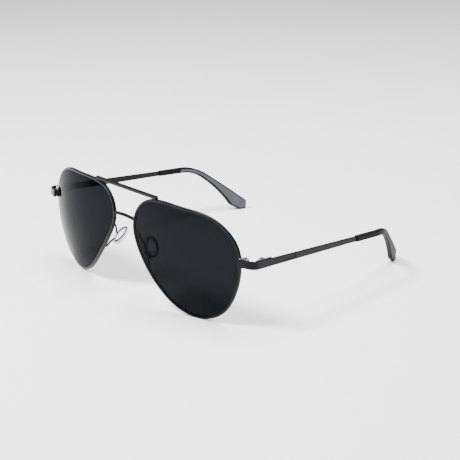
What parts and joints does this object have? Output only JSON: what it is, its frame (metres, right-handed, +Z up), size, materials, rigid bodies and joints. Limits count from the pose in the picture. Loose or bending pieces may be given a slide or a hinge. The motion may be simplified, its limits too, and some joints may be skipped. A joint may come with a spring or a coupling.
{
  "type": "aviator sunglasses",
  "caption": "Metal-framed aviator sunglasses with a straight brow bar, dark tinted teardrop lenses, silicone nose pads and folding temples with plastic tips.",
  "frame": {"origin": "on the resting surface, under the middle of the bounding box, with the temples open", "axes": "+X towards the wearer's left, +Y from the front to the temple tips, +Z up"},
  "size_m": [0.1494, 0.1304, 0.053],
  "materials": {
    "frame_metal": "satin black coating over metal",
    "bright_metal": "bare satin nickel silver",
    "screw_steel": "polished steel",
    "lens_tint": "polished, dark neutral grey tint",
    "tip_plastic": "matte charcoal black",
    "inlay_rubber": "soft matte grey",
    "pad_silicone": "clear soft silicone"
  },
  "bodies": {
    "front": {"brow_bar": "frame_metal", "bridge": "frame_metal", "left_rim": "frame_metal", "left_lens": "lens_tint", "left_end_piece": "frame_metal", "left_rim_lock_upper": "bright_metal", "left_rim_lock_lower": "bright_metal", "left_rim_screw": "screw_steel", "left_hinge_front": "bright_metal", "left_hinge_screw": "screw_steel", "left_pad_arm_upper": "frame_metal", "left_pad_arm_lower": "frame_metal", "left_pad_ring": "frame_metal", "left_nose_pad": "pad_silicone", "right_rim": "frame_metal", "right_lens": "lens_tint", "right_end_piece": "frame_metal", "right_rim_lock_upper": "bright_metal", "right_rim_lock_lower": "bright_metal", "right_rim_screw": "screw_steel", "right_hinge_front": "bright_metal", "right_hinge_screw": "screw_steel", "right_pad_arm_upper": "frame_metal", "right_pad_arm_lower": "frame_metal", "right_pad_ring": "frame_metal", "right_nose_pad": "pad_silicone"},
    "left_arm": {"left_hinge_temple": "bright_metal", "left_temple": "frame_metal", "left_temple_tip": "tip_plastic", "left_tip_inlay": "inlay_rubber"},
    "right_arm": {"right_hinge_temple": "bright_metal", "right_temple": "frame_metal", "right_temple_tip": "tip_plastic", "right_tip_inlay": "inlay_rubber"}
  },
  "joints": [
    {"name": "left_temple_fold", "type": "hinge", "parent": "front", "child": "left_arm", "pos_m": [0.072, -0.04543, 0.03145], "axis": [0, 0.0745, 0.9972], "range_deg": [0, 86]},
    {"name": "right_temple_fold", "type": "hinge", "parent": "front", "child": "right_arm", "pos_m": [-0.072, -0.04543, 0.03145], "axis": [0, -0.0745, -0.9972], "range_deg": [0, 80]}
  ]
}
